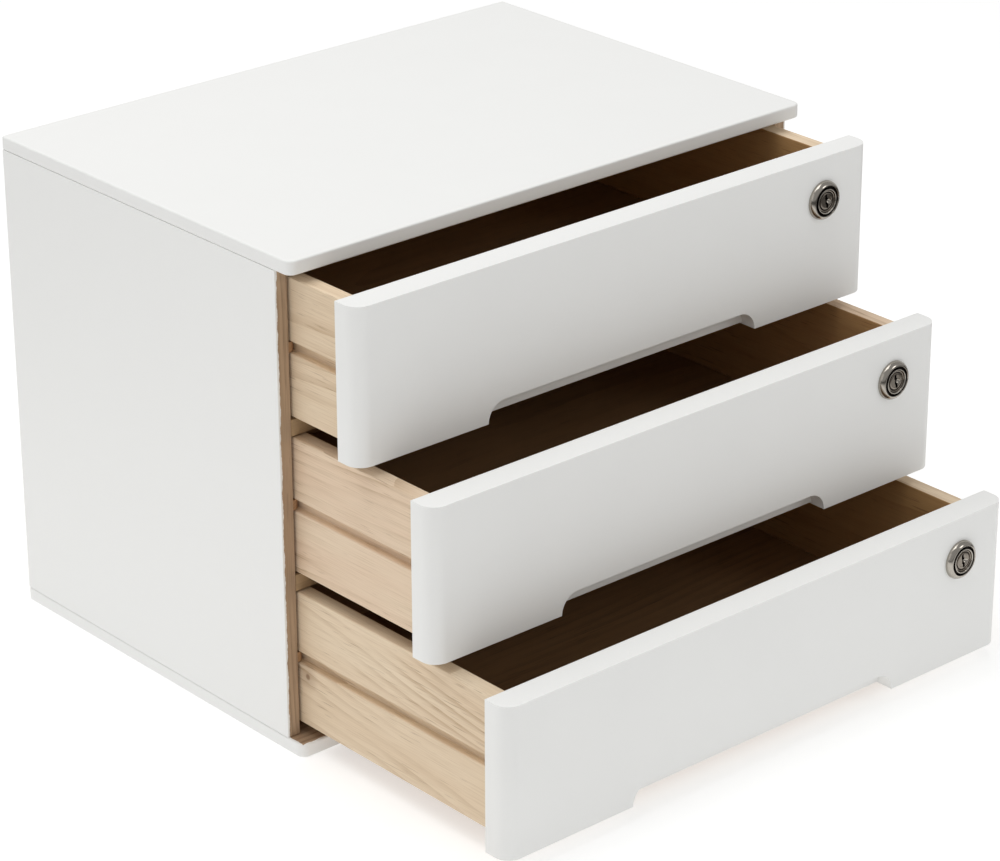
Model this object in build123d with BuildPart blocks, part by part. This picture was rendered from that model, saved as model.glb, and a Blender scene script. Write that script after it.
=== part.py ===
from build123d import *
import os

os.makedirs("parts", exist_ok=True)

# Desktop file drawer: a painted board case with three lockable wooden drawers on side runners.
# The origin is the centre of the case's footprint on the table. +Z is up, the drawers face -Y
# and +X is to the right of someone who faces them. The drawers stand open, as they are shown.

# ---- case -------------------------------------------------------------------------------
case_width = 360.0
case_depth = 250.0
case_height = 280.0
board = 8.0  # thickness of the case's boards
mouth_setback = 12.0  # how far the side boards and rails stand back from the top's front edge
corner_radius = 5.0  # front corners of the top and bottom boards, seen from above
paint_round = 1.0  # softened arrises of the painted boards
back_thickness = 4.0
rebate_width = 4.0  # the back board's seat in the case boards
back_clearance = 0.25
rail_height = 9.0
rail_depth = 40.0
rail_clearance = 1.0  # between a rail and the drawer box below it

# ---- drawer fronts ----------------------------------------------------------------------
drawer_names = ("top", "middle", "bottom")
drawer_open = {"top": 47.8, "middle": 103.7, "bottom": 158.0}
front_thickness = 16.0
front_gap = 1.8  # between one front and the next
end_gap = 1.2  # between the outer fronts and the case's top and bottom boards
front_end_radius = 9.0
front_overhang = 0.5  # how far each end of a front stands out past the case's side
closing_gap = 0.3  # left behind a front when its drawer is shut
recess_width = 190.0  # finger recess in the lower edge
recess_height = 11.0
recess_depth = 9.6  # the wood behind it stays as a lip
recess_lip_rise = 1.0  # the lip stops this far above the front's lower edge

# ---- drawer boxes -----------------------------------------------------------------------
box_length = 231.0
box_side_thickness = 9.0
box_front_thickness = 8.0
box_back_thickness = 9.0
box_side_gap = 1.5  # between a drawer side and the case side
box_top_drop = 4.5  # from a front's top edge down to its box
box_bottom_lift = 5.0  # from a front's bottom edge up to its box
box_round = 0.6
floor_thickness = 3.0
floor_clearance = 0.1
floor_groove_depth = 4.0
floor_lift = 5.0  # from the box's lower edge up to its floor
box_screw_spacing = 220.0
box_screw_rise = 36.0

# ---- runners ----------------------------------------------------------------------------
runner_height = 5.5
runner_clearance = 0.5  # above and below a runner in its groove
groove_depth = 4.5
runner_end_clearance = 0.7  # between a runner and the bottom of its groove
runner_setback = 1.0  # from the mouth of the case to a runner's front end
runner_back_gap = 4.0
runner_nose_radius = 4.0

# ---- locks ------------------------------------------------------------------------------
lock_from_end = 35.0  # from the side of the case
lock_from_top = 24.5
bezel_radius = 11.0
bezel_height = 3.5
bezel_rim = 0.6  # straight part of the bezel's edge
bezel_shoulder = 9.6  # the dome passes through this radius at this height
bezel_shoulder_height = 2.6
bezel_bevel = 0.3
barrel_radius = 8.0
barrel_clearance = 0.15
plug_radius = 6.2
plug_head_length = 5.0  # behind it the plug is thinner, so that it can't be pushed in
plug_shank_radius = 5.4
plug_bevel = 0.4
shoulder_clearance = 0.05
plug_clearance = 0.08
guard_ring_width = 1.1  # the raised ring round the plug
bezel_groove_width = 0.6
bezel_groove_depth = 2.1
plug_recess = 0.6  # from the guard ring's face in to the plug's face
nut_thickness = 3.0
nut_across_flats = 20.0
barrel_tail = 0.8  # thread that shows past the nut
cam_gap = 0.3
cam_thickness = 2.0
cam_width = 12.0
cam_hub_radius = 8.0
cam_bite = 5.0  # how far the cam's tip rises above the front's top edge
cam_slot_clearance = 1.2
tang_size = 6.0
tang_clearance = 0.05
cam_screw_head_radius = 4.5
cam_screw_head_height = 2.4
cam_screw_radius = 2.0
cam_screw_length = 8.0
keyway_width = 1.7
keyway_depth = 15.0
keyway_jog = 0.7
keyway_middle = 3.6  # height of the keyway's middle part
keyway_end = 2.9  # height of each of its outer parts
keyway_end_rise = 2.55
key_funnel_radius = 1.7
key_funnel_depth = 1.4
key_funnel_taper = 35.0
key_funnel_offset = 1.4

# ---- fasteners --------------------------------------------------------------------------
dowel_radius = 2.5
dowel_clearance = 0.05
dowel_bite = 5.0  # length in a board's face
dowel_grain_length = 15.0  # length in a board's end
screw_radius = 1.75
screw_clearance = 0.1
screw_head_radius = 3.5
screw_head_height = 2.2
screw_head_round = 0.8
sunk_head_radius = 3.6
sunk_head_depth = 0.2  # how far a sunk head stands in from the surface
countersink_angle = 90.0
fastener_end_gap = 0.5  # left beyond the tip of a nail or a screw in its hole
front_screw_length = 20.0
base_screw_length = 30.0
brad_radius = 0.7
brad_clearance = 0.05
brad_bite = 5.0
panel_pin_front = 30.0  # from the mouth of the case to the front dowel and base screw
panel_pin_back = 25.0  # from the back board to the rear ones
rail_pin_inset = 10.0
runner_pin_inset = 15.0
back_brad_rise = 50.0  # from the top or bottom of the case to the nearest brad in a side board
back_brad_columns = (-100.0, 0.0, 100.0)
box_dowel_drop = 7.5  # from a box's upper edge down to its upper dowels
box_dowel_rise = 16.0  # from its lower edge up to its lower dowels

# ---- places worked out from the sizes above ---------------------------------------------
case_front = -case_depth / 2
case_back = case_depth / 2
mouth = case_front + mouth_setback
case_side = case_width / 2
inner_side = case_side - board
inner_top = case_height - board
back_face = case_back - back_thickness
front_height = (inner_top - board - 2 * end_gap - 2 * front_gap) / 3
front_pitch = front_height + front_gap
front_width = case_width + 2 * front_overhang
shut_front_face = mouth - closing_gap - front_thickness
shut_box_start = mouth - closing_gap
box_outer = inner_side - box_side_gap
box_inner = box_outer - box_side_thickness
box_height = front_height - box_top_drop - box_bottom_lift
groove_height = runner_height + 2 * runner_clearance
dowel_length = dowel_bite + dowel_grain_length
runner_reach = box_side_gap + groove_depth - runner_end_clearance
runner_start = mouth + runner_setback
runner_end = back_face - runner_back_gap
lock_x = case_side - lock_from_end
lock_wall = front_thickness + box_front_thickness
barrel_end = lock_wall + nut_thickness + barrel_tail
cam_start = barrel_end + cam_gap
cam_end = cam_start + cam_thickness
tang_hole = tang_size + 2 * tang_clearance
cam_reach = lock_from_top + cam_bite
cam_slot_y = shut_front_face + cam_start - cam_slot_clearance
cam_slot_depth = cam_thickness + 2 * cam_slot_clearance
rail_drop = box_top_drop - rail_clearance  # from a front's top edge down to the rail's underside


def front_top(index):
    return inner_top - end_gap - index * front_pitch


def block(x_range, y_range, z_range):
    """A plain board between the given limits, made on its own lower face."""
    with BuildPart() as piece:
        with BuildSketch(Plane.XY.offset(z_range[0])):
            with Locations(((x_range[0] + x_range[1]) / 2, (y_range[0] + y_range[1]) / 2)):
                Rectangle(x_range[1] - x_range[0], y_range[1] - y_range[0])
        extrude(amount=z_range[1] - z_range[0])
    return piece.part


def pin(start, direction, radius, length):
    """A plain round pin."""
    with BuildPart() as piece:
        with BuildSketch(Plane(origin=start, z_dir=direction)):
            Circle(radius)
        extrude(amount=length)
    return piece.part


def headed_screw(start, direction, length):
    """A pan-head screw: start is under its head, direction is the way that it is driven."""
    with BuildPart() as piece:
        with BuildSketch(Plane(origin=start, z_dir=direction)):
            Circle(screw_radius)
        extrude(amount=length)
        with BuildSketch(Plane(origin=start, z_dir=direction)):
            Circle(screw_head_radius)
        extrude(amount=-screw_head_height)
        head_rim = piece.edges().filter_by(GeomType.CIRCLE).sort_by(Axis(start, direction))[0]
        fillet(head_rim, screw_head_round)
    return piece.part


def sunk_screw(start, direction, length):
    """A countersunk screw: start is the middle of its head's flat face."""
    head_radius = sunk_head_radius - sunk_head_depth - screw_clearance
    with BuildPart() as piece:
        with BuildSketch(Plane(origin=start, z_dir=direction)):
            Circle(screw_radius)
        extrude(amount=length)
        with BuildSketch(Plane(origin=start, z_dir=direction)):
            Circle(head_radius)
        extrude(amount=head_radius - screw_radius, taper=countersink_angle / 2)
    return piece.part


def save(shape, name):
    shape.label = name
    export_step(shape, f"parts/{name}.step")


def save_group(shapes, name):
    save(Compound(children=list(shapes)), name)


# ---- places of the fasteners ------------------------------------------------------------
side_end_x = inner_side + board / 2
panel_pin_y = [mouth + panel_pin_front, (mouth + back_face) / 2, back_face - panel_pin_back]
panel_pin_places = [(side * side_end_x, y) for side in (-1, 1) for y in panel_pin_y]
rail_underside = {i: front_top(i) - rail_drop for i in (1, 2)}
rail_pin_places = [
    (side, mouth + y, rail_underside[i] + rail_height / 2)
    for i in (1, 2)
    for side in (-1, 1)
    for y in (rail_pin_inset, rail_depth - rail_pin_inset)
]
runner_pin_y = [
    runner_start + runner_pin_inset,
    (runner_start + runner_end) / 2,
    runner_end - runner_pin_inset,
]


def runner_middle(index):
    return front_top(index) - box_top_drop - box_height / 2


runner_pin_places = [
    (side, y, runner_middle(i)) for i in range(3) for side in (-1, 1) for y in runner_pin_y
]
back_pin_inset = board - rebate_width / 2
back_pin_places = [
    (side * (case_side - back_pin_inset), z)
    for side in (-1, 1)
    for z in (back_brad_rise, case_height / 2, case_height - back_brad_rise)
]
back_pin_places += [
    (x, z) for x in back_brad_columns for z in (back_pin_inset, case_height - back_pin_inset)
]


# ---- case -------------------------------------------------------------------------------
def end_board(z_low, is_top):
    """The top or bottom board: rounded front corners and a stopped rebate for the back."""
    inner_face = z_low if is_top else z_low + board
    into = 1 if is_top else -1
    with BuildPart() as panel:
        with BuildSketch(Plane.XY.offset(z_low)) as outline:
            Rectangle(case_width, case_depth)
            fillet(outline.vertices().group_by(Axis.Y)[0], corner_radius)
        extrude(amount=board)
        outer = panel.faces().sort_by(Axis.Z)[-1 if is_top else 0]
        fillet(outer.edges(), paint_round)
        with BuildSketch(Plane.XY.offset(inner_face)):
            with Locations((0, case_back)):
                Rectangle(case_width - 2 * rebate_width, 2 * back_thickness)
        extrude(amount=into * rebate_width, mode=Mode.SUBTRACT)
        if is_top:
            with BuildSketch(Plane.XY.offset(inner_face)):
                with Locations(*panel_pin_places):
                    Circle(dowel_radius + dowel_clearance)
            extrude(amount=dowel_bite + dowel_clearance, mode=Mode.SUBTRACT)
            with BuildSketch(Plane.XY.offset(inner_face)):
                with Locations((lock_x - cam_reach / 4, cam_slot_y + cam_slot_depth / 2)):
                    Rectangle(cam_reach, cam_slot_depth)
            extrude(amount=cam_bite, mode=Mode.SUBTRACT)
        else:
            with Locations(*[Location((x, y, 0), (180, 0, 0)) for x, y in panel_pin_places]):
                CounterSinkHole(
                    screw_radius + screw_clearance, sunk_head_radius, board, countersink_angle
                )
        with BuildSketch(Plane.XZ.offset(-back_face)):
            with Locations(*[p for p in back_pin_places if abs(p[0]) < inner_side]):
                Circle(brad_radius + brad_clearance)
        extrude(amount=brad_bite, mode=Mode.SUBTRACT)
    return panel.part


def side_board(side):
    """A side board, with the back's rebate and holes for what is fixed to it."""
    x_low = min(side * inner_side, side * case_side)
    with BuildPart() as panel:
        with BuildSketch(Plane.XY.offset(board)):
            with Locations((x_low + board / 2, (mouth + case_back) / 2)):
                Rectangle(board, case_back - mouth)
        extrude(amount=inner_top - board)
        with BuildSketch(Plane.XY.offset(board)):
            with Locations((side * inner_side, case_back)):
                Rectangle(2 * rebate_width, 2 * back_thickness)
        extrude(amount=inner_top - board, mode=Mode.SUBTRACT)
        with BuildSketch(Plane.XY.offset(inner_top)):
            with Locations(*[p for p in panel_pin_places if p[0] * side > 0]):
                Circle(dowel_radius + dowel_clearance)
        extrude(amount=-dowel_grain_length - dowel_clearance, mode=Mode.SUBTRACT)
        with BuildSketch(Plane.XY.offset(board)):
            with Locations(*[p for p in panel_pin_places if p[0] * side > 0]):
                Circle(screw_radius + screw_clearance)
        extrude(amount=base_screw_length - board + fastener_end_gap, mode=Mode.SUBTRACT)
        with BuildSketch(Plane.YZ.offset(side * inner_side)):
            with Locations(*[(y, z) for s, y, z in rail_pin_places if s == side]):
                Circle(dowel_radius + dowel_clearance)
        extrude(amount=side * (dowel_bite + dowel_clearance), mode=Mode.SUBTRACT)
        with BuildSketch(Plane.YZ.offset(side * inner_side)):
            with Locations(*[(y, z) for s, y, z in runner_pin_places if s == side]):
                Circle(brad_radius + brad_clearance)
        extrude(amount=side * brad_bite, mode=Mode.SUBTRACT)
        with BuildSketch(Plane.XZ.offset(-back_face)):
            with Locations(*[p for p in back_pin_places if p[0] * side > inner_side]):
                Circle(brad_radius + brad_clearance)
        extrude(amount=brad_bite, mode=Mode.SUBTRACT)
    return panel.part


def back_board():
    with BuildPart() as panel:
        with BuildSketch(Plane.XZ.offset(-case_back)):
            with Locations((0, case_height / 2)):
                Rectangle(
                    case_width - 2 * rebate_width - 2 * back_clearance,
                    case_height - 2 * rebate_width - 2 * back_clearance,
                )
        extrude(amount=back_thickness)
        with BuildSketch(Plane.XZ.offset(-case_back)):
            with Locations(*back_pin_places):
                Circle(brad_radius + brad_clearance)
        extrude(amount=back_thickness, mode=Mode.SUBTRACT)
    return panel.part


def rail(index):
    """A cross rail between two drawers, with a slot for the cam of the lock below it."""
    low = rail_underside[index]
    pins = {side: [(y, z) for s, y, z in rail_pin_places if s == side and low < z] for side in (-1, 1)}
    with BuildPart() as piece:
        with BuildSketch(Plane.XY.offset(low)):
            with Locations((0, mouth + rail_depth / 2)):
                Rectangle(2 * inner_side, rail_depth)
            with Locations((lock_x - cam_reach / 4, cam_slot_y + cam_slot_depth / 2)):
                Rectangle(cam_reach, cam_slot_depth, mode=Mode.SUBTRACT)
        extrude(amount=rail_height)
        for side in (-1, 1):
            with BuildSketch(Plane.YZ.offset(side * inner_side)):
                with Locations(*pins[side]):
                    Circle(dowel_radius + dowel_clearance)
            extrude(amount=-side * (dowel_grain_length + dowel_clearance), mode=Mode.SUBTRACT)
    return piece.part


def runner(index, side):
    """A hardwood strip on the side board that carries the drawer by the groove in its side."""
    middle = runner_middle(index)
    with BuildPart() as strip:
        with BuildSketch(Plane.XY.offset(middle - runner_height / 2)) as outline:
            with Locations((side * (inner_side - runner_reach / 2), (runner_start + runner_end) / 2)):
                Rectangle(runner_reach, runner_end - runner_start)
            nose = outline.vertices().sort_by(Axis.Y)[:2].sort_by(Axis.X)[0 if side > 0 else 1]
            fillet(nose, runner_nose_radius)
        extrude(amount=runner_height)
        with BuildSketch(Plane.YZ.offset(side * inner_side)):
            with Locations(*[(y, middle) for y in runner_pin_y]):
                Circle(brad_radius + brad_clearance)
        extrude(amount=-side * runner_reach, mode=Mode.SUBTRACT)
    return strip.part


save(end_board(inner_top, True), "top_panel")
save(end_board(0.0, False), "bottom_panel")
save(side_board(-1), "left_side_panel")
save(side_board(1), "right_side_panel")
save(back_board(), "back_panel")
save(rail(1), "upper_rail")
save(rail(2), "lower_rail")
for index, name in enumerate(drawer_names):
    save(runner(index, -1), f"{name}_left_runner")
    save(runner(index, 1), f"{name}_right_runner")

save_group(
    [
        pin((x, y, inner_top + dowel_bite), (0, 0, -1), dowel_radius, dowel_length)
        for x, y in panel_pin_places
    ],
    "panel_dowels",
)
save_group(
    [
        pin((s * (inner_side + dowel_bite), y, z), (-s, 0, 0), dowel_radius, dowel_length)
        for s, y, z in rail_pin_places
    ],
    "rail_dowels",
)
save_group(
    [sunk_screw((x, y, sunk_head_depth), (0, 0, 1), base_screw_length) for x, y in panel_pin_places],
    "base_screws",
)
back_brad_length = back_thickness + brad_bite - fastener_end_gap
save_group(
    [pin((x, case_back, z), (0, -1, 0), brad_radius, back_brad_length) for x, z in back_pin_places],
    "back_panel_brads",
)
runner_brad_length = runner_reach + brad_bite - fastener_end_gap
save_group(
    [
        pin((s * (inner_side - runner_reach), y, z), (s, 0, 0), brad_radius, runner_brad_length)
        for s, y, z in runner_pin_places
    ],
    "runner_brads",
)


# ---- drawers ----------------------------------------------------------------------------
def drawer_pieces(index, name):
    """One drawer: a four-board box, its floor, and the painted front screwed to it."""
    top = front_top(index)
    low = top - front_height
    face = shut_front_face - drawer_open[name]
    start = face + front_thickness
    end = start + box_length
    box_top = top - box_top_drop
    box_low = low + box_bottom_lift
    floor_low = box_low + floor_lift
    lock_z = top - lock_from_top
    groove_low = runner_middle(index) - groove_height / 2
    dowel_rows = (box_top - box_dowel_drop, box_low + box_dowel_rise)
    front_middle = start + box_front_thickness / 2
    back_middle = end - box_back_thickness / 2
    dowel_places = [(y, z) for y in (front_middle, back_middle) for z in dowel_rows]
    screw_places = [
        (x, (box_top + box_low) / 2 + z)
        for x in (-box_screw_spacing / 2, box_screw_spacing / 2)
        for z in (-box_screw_rise / 2, box_screw_rise / 2)
    ]

    with BuildPart() as front:
        with BuildSketch(Plane.XY.offset(low)) as outline:
            with Locations((0, face + front_thickness / 2)):
                Rectangle(front_width, front_thickness)
            fillet(outline.vertices().group_by(Axis.Y)[0], front_end_radius)
        extrude(amount=front_height)
        end_faces = front.faces().sort_by(Axis.Z)
        fillet(end_faces[0].edges() + end_faces[-1].edges(), paint_round)
        with BuildSketch(Plane.XZ.offset(-(face + recess_depth))):
            with Locations((0, low)):
                SlotOverall(recess_width, 2 * recess_height)
        extrude(amount=recess_depth, mode=Mode.SUBTRACT)
        with BuildSketch(Plane.XZ.offset(-start)):
            with Locations((0, low)):
                Rectangle(recess_width, 2 * recess_lip_rise)
        extrude(amount=front_thickness - recess_depth, mode=Mode.SUBTRACT)
        with BuildSketch(Plane.XZ.offset(-start)):
            with Locations((lock_x, lock_z)):
                Circle(barrel_radius + barrel_clearance)
        extrude(amount=front_thickness, mode=Mode.SUBTRACT)
        with BuildSketch(Plane.XZ.offset(-start)):
            with Locations(*screw_places):
                Circle(screw_radius + screw_clearance)
        extrude(amount=front_screw_length - box_front_thickness + fastener_end_gap, mode=Mode.SUBTRACT)
    save(front.part, f"{name}_drawer_front")

    for side, word in ((-1, "left"), (1, "right")):
        with BuildPart() as cheek:
            with BuildSketch(Plane.XY.offset(box_low)):
                with Locations((side * (box_inner + box_side_thickness / 2), (start + end) / 2)):
                    Rectangle(box_side_thickness, box_length)
            extrude(amount=box_height)
            long_edges = cheek.edges().filter_by(Axis.Y)
            fillet(long_edges, box_round)
            with BuildSketch(Plane.YZ.offset(side * box_outer)):
                with Locations(((start + end) / 2, groove_low + groove_height / 2)):
                    Rectangle(box_length, groove_height)
            extrude(amount=-side * groove_depth, mode=Mode.SUBTRACT)
            with BuildSketch(Plane.YZ.offset(side * box_inner)):
                with Locations(((start + end) / 2, floor_low + floor_thickness / 2)):
                    Rectangle(box_length, floor_thickness + 2 * floor_clearance)
            extrude(amount=side * floor_groove_depth, mode=Mode.SUBTRACT)
            with BuildSketch(Plane.YZ.offset(side * box_inner)):
                with Locations(*dowel_places):
                    Circle(dowel_radius + dowel_clearance)
            extrude(amount=side * (dowel_bite + dowel_clearance), mode=Mode.SUBTRACT)
        save(cheek.part, f"{name}_drawer_{word}_side")

    with BuildPart() as box_front:
        with BuildSketch(Plane.XY.offset(box_low)):
            with Locations((0, front_middle)):
                Rectangle(2 * box_inner, box_front_thickness)
        extrude(amount=box_height)
        with BuildSketch(Plane.XY.offset(floor_low - floor_clearance)):
            with Locations((0, start + box_front_thickness - floor_groove_depth / 2)):
                Rectangle(2 * box_inner, floor_groove_depth)
        extrude(amount=floor_thickness + 2 * floor_clearance, mode=Mode.SUBTRACT)
        with BuildSketch(Plane.XZ.offset(-start)):
            with Locations((lock_x, lock_z)):
                Circle(barrel_radius + barrel_clearance)
            with Locations(*screw_places):
                Circle(screw_radius + screw_clearance)
        extrude(amount=-box_front_thickness, mode=Mode.SUBTRACT)
        for side in (-1, 1):
            with BuildSketch(Plane.YZ.offset(side * box_inner)):
                with Locations(*[p for p in dowel_places if p[0] == front_middle]):
                    Circle(dowel_radius + dowel_clearance)
            extrude(amount=-side * (dowel_grain_length + dowel_clearance), mode=Mode.SUBTRACT)
    save(box_front.part, f"{name}_drawer_box_front")

    with BuildPart() as box_back:
        with BuildSketch(Plane.XY.offset(box_low)):
            with Locations((0, back_middle)):
                Rectangle(2 * box_inner, box_back_thickness)
        extrude(amount=box_height)
        with BuildSketch(Plane.XY.offset(floor_low - floor_clearance)):
            with Locations((0, end - box_back_thickness + floor_groove_depth / 2)):
                Rectangle(2 * box_inner, floor_groove_depth)
        extrude(amount=floor_thickness + 2 * floor_clearance, mode=Mode.SUBTRACT)
        for side in (-1, 1):
            with BuildSketch(Plane.YZ.offset(side * box_inner)):
                with Locations(*[p for p in dowel_places if p[0] == back_middle]):
                    Circle(dowel_radius + dowel_clearance)
            extrude(amount=-side * (dowel_grain_length + dowel_clearance), mode=Mode.SUBTRACT)
    save(box_back.part, f"{name}_drawer_back")

    floor_reach = floor_groove_depth - floor_clearance
    floor_y = (start + box_front_thickness - floor_reach, end - box_back_thickness + floor_reach)
    floor_x = box_inner + floor_reach
    save(
        block((-floor_x, floor_x), floor_y, (floor_low, floor_low + floor_thickness)),
        f"{name}_drawer_floor",
    )
    save_group(
        [
            pin((s * (box_inner + dowel_bite), y, z), (-s, 0, 0), dowel_radius, dowel_length)
            for s in (-1, 1)
            for y, z in dowel_places
        ],
        f"{name}_drawer_dowels",
    )
    save_group(
        [
            headed_screw((x, start + box_front_thickness, z), (0, -1, 0), front_screw_length)
            for x, z in screw_places
        ],
        f"{name}_drawer_front_screws",
    )


# ---- locks ------------------------------------------------------------------------------
def lock_pieces(index, name):
    """One cam lock: its axis runs along Y, and its cam lies flat to the left, unlocked."""
    face = shut_front_face - drawer_open[name]
    centre_z = front_top(index) - lock_from_top
    bore = plug_radius + plug_clearance
    shank_bore = plug_shank_radius + plug_clearance
    ring = bore + guard_ring_width
    groove = ring + bezel_groove_width
    plug_face = plug_recess - bezel_height
    shoulder = plug_face + plug_head_length
    # Profiles are drawn in a plane through the axis: x is the radius, y runs inwards.
    profile = Plane(origin=(lock_x, face, centre_z), x_dir=(1, 0, 0), z_dir=(0, 0, 1))
    axis = Axis((lock_x, face, centre_z), (0, 1, 0))

    with BuildPart() as housing:
        with BuildSketch(profile):
            with BuildLine():
                Polyline(
                    (shank_bore, barrel_end),
                    (shank_bore, shoulder + shoulder_clearance),
                    (bore, shoulder + shoulder_clearance),
                    (bore, bezel_bevel - bezel_height),
                    (bore + bezel_bevel, -bezel_height),
                    (ring, -bezel_height),
                    (ring, bezel_groove_depth - bezel_height),
                    (groove, bezel_groove_depth - bezel_height),
                    (groove, bezel_bevel - bezel_height),
                )
                ThreePointArc(
                    (groove, bezel_bevel - bezel_height),
                    (bezel_shoulder, -bezel_shoulder_height),
                    (bezel_radius, -bezel_rim),
                )
                Polyline(
                    (bezel_radius, -bezel_rim),
                    (bezel_radius, 0),
                    (barrel_radius, 0),
                    (barrel_radius, barrel_end),
                    (shank_bore, barrel_end),
                )
            make_face()
        revolve(axis=axis)
    save(housing.part, f"{name}_lock_housing")

    with BuildPart() as plug:
        with BuildSketch(profile):
            with BuildLine():
                Polyline(
                    (0, plug_face),
                    (plug_radius - plug_bevel, plug_face),
                    (plug_radius, plug_face + plug_bevel),
                    (plug_radius, shoulder),
                    (plug_shank_radius, shoulder),
                    (plug_shank_radius, cam_start),
                    (0, cam_start),
                    (0, plug_face),
                )
            make_face()
        revolve(axis=axis)
        with BuildSketch(Plane.XZ.offset(-(face + cam_start))):
            with Locations((lock_x, centre_z)):
                Rectangle(tang_size, tang_size)
        extrude(amount=-cam_thickness)
        with BuildSketch(Plane.XZ.offset(-(face + cam_end))):
            with Locations((lock_x, centre_z)):
                Circle(cam_screw_radius + screw_clearance)
        extrude(amount=cam_screw_length + fastener_end_gap, mode=Mode.SUBTRACT)
        with BuildSketch(Plane.XZ.offset(-(face + plug_face))):
            with Locations((lock_x, centre_z)):
                Rectangle(keyway_width, keyway_middle)
            with Locations((lock_x - keyway_jog, centre_z + keyway_end_rise)):
                Rectangle(keyway_width, keyway_end)
            with Locations((lock_x + keyway_jog, centre_z - keyway_end_rise)):
                Rectangle(keyway_width, keyway_end)
        extrude(amount=-keyway_depth, mode=Mode.SUBTRACT)
        dimple = Plane(origin=(lock_x + key_funnel_offset, face + plug_face, centre_z), z_dir=(0, 1, 0))
        with BuildSketch(dimple):
            Circle(key_funnel_radius)
        extrude(amount=key_funnel_depth, taper=key_funnel_taper, mode=Mode.SUBTRACT)
    save(plug.part, f"{name}_lock_plug")

    with BuildPart() as nut:
        with BuildSketch(Plane.XZ.offset(-(face + lock_wall))):
            with Locations((lock_x, centre_z)):
                RegularPolygon(nut_across_flats / 2, 6, major_radius=False)
                Circle(barrel_radius + barrel_clearance, mode=Mode.SUBTRACT)
        extrude(amount=-nut_thickness)
    save(nut.part, f"{name}_lock_nut")

    with BuildPart() as cam:
        with BuildSketch(Plane.XZ.offset(-(face + cam_start))):
            with Locations((lock_x, centre_z)):
                Circle(cam_hub_radius)
            with Locations((lock_x - (cam_reach - cam_width / 2) / 2, centre_z)):
                Rectangle(cam_reach - cam_width / 2, cam_width)
            with Locations((lock_x - cam_reach + cam_width / 2, centre_z)):
                Circle(cam_width / 2)
            with Locations((lock_x, centre_z)):
                Rectangle(tang_hole, tang_hole, mode=Mode.SUBTRACT)
        extrude(amount=-cam_thickness)
    save(cam.part, f"{name}_lock_cam")

    with BuildPart() as screw:
        with BuildSketch(Plane.XZ.offset(-(face + cam_end))):
            with Locations((lock_x, centre_z)):
                Circle(cam_screw_radius)
        extrude(amount=cam_screw_length)
        with BuildSketch(Plane.XZ.offset(-(face + cam_end))):
            with Locations((lock_x, centre_z)):
                Circle(cam_screw_head_radius)
        extrude(amount=-cam_screw_head_height)
        fillet(screw.edges().filter_by(GeomType.CIRCLE).sort_by(Axis.Y)[-1], screw_head_round)
    save(screw.part, f"{name}_lock_cam_screw")


for index, name in enumerate(drawer_names):
    drawer_pieces(index, name)
    lock_pieces(index, name)
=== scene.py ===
import math
import bpy
from mathutils import Matrix, Vector


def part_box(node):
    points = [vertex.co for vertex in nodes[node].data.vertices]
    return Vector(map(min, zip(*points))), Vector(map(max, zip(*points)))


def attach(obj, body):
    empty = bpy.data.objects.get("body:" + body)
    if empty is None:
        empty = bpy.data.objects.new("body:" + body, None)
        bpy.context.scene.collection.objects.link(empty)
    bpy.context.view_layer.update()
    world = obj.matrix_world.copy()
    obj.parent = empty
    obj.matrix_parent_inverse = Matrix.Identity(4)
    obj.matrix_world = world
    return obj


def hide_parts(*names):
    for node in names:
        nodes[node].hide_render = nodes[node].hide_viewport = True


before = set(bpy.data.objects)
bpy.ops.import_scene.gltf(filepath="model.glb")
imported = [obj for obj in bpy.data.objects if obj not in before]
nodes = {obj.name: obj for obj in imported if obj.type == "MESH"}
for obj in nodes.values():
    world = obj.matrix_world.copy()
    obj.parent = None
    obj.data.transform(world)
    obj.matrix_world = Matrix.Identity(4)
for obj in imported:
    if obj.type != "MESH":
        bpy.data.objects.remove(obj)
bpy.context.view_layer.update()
mm = 0.001
drawerNames = ("top", "middle", "bottom")
print("frame loaded:", len(nodes), "nodes")


# small helpers

def linear(hexColour):  # sRGB hex to the linear numbers that shaders use
    parts = [int(hexColour[i:i + 2], 16) / 255 for i in (1, 3, 5)]
    return [c / 12.92 if c <= 0.04045 else ((c + 0.055) / 1.055) ** 2.4 for c in parts] + [1.0]


def addNode(tree, kind, settings=None, links=None):  # links: input name or number -> (node, output)
    made = tree.nodes.new(kind)
    for key, value in (settings or {}).items():
        if isinstance(key, str) and hasattr(made, key):
            setattr(made, key, value)
        else:
            made.inputs[key].default_value = value
    for key, (source, output) in (links or {}).items():
        tree.links.new(source.outputs[output], made.inputs[key])
    return made


def startMaterial(name):
    material = bpy.data.materials.new(name)
    material.use_nodes = True
    tree = material.node_tree
    tree.nodes.clear()
    place = addNode(tree, "ShaderNodeTexCoord")
    return material, tree, place


def finishMaterial(tree, shader):
    addNode(tree, "ShaderNodeOutputMaterial", links={"Surface": (shader, "BSDF")})


def activate(piece):
    bpy.ops.object.select_all(action="DESELECT")
    piece.select_set(True)
    bpy.context.view_layer.objects.active = piece


def applyModifier(piece, kind, **settings):
    activate(piece)
    modifier = piece.modifiers.new(kind.lower(), kind)
    for key, value in settings.items():
        setattr(modifier, key, value)
    bpy.ops.object.modifier_apply(modifier=modifier.name)


def cutWith(piece, cutter):
    applyModifier(piece, "BOOLEAN", operation="DIFFERENCE", solver="EXACT", object=cutter)
    bpy.data.objects.remove(cutter, do_unlink=True)


def farFace(low, high):  # how far a board's outer face is from the middle plane of the case
    return max(abs(low[0]), abs(high[0]))


def nearFace(low, high):  # and its inner face
    return min(abs(low[0]), abs(high[0]))


def bevelEdges(piece, width, segments=3, angle=50):
    applyModifier(piece, "BEVEL", width=width, segments=segments, limit_method="ANGLE",
                  angle_limit=math.radians(angle), use_clamp_overlap=True)


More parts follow.
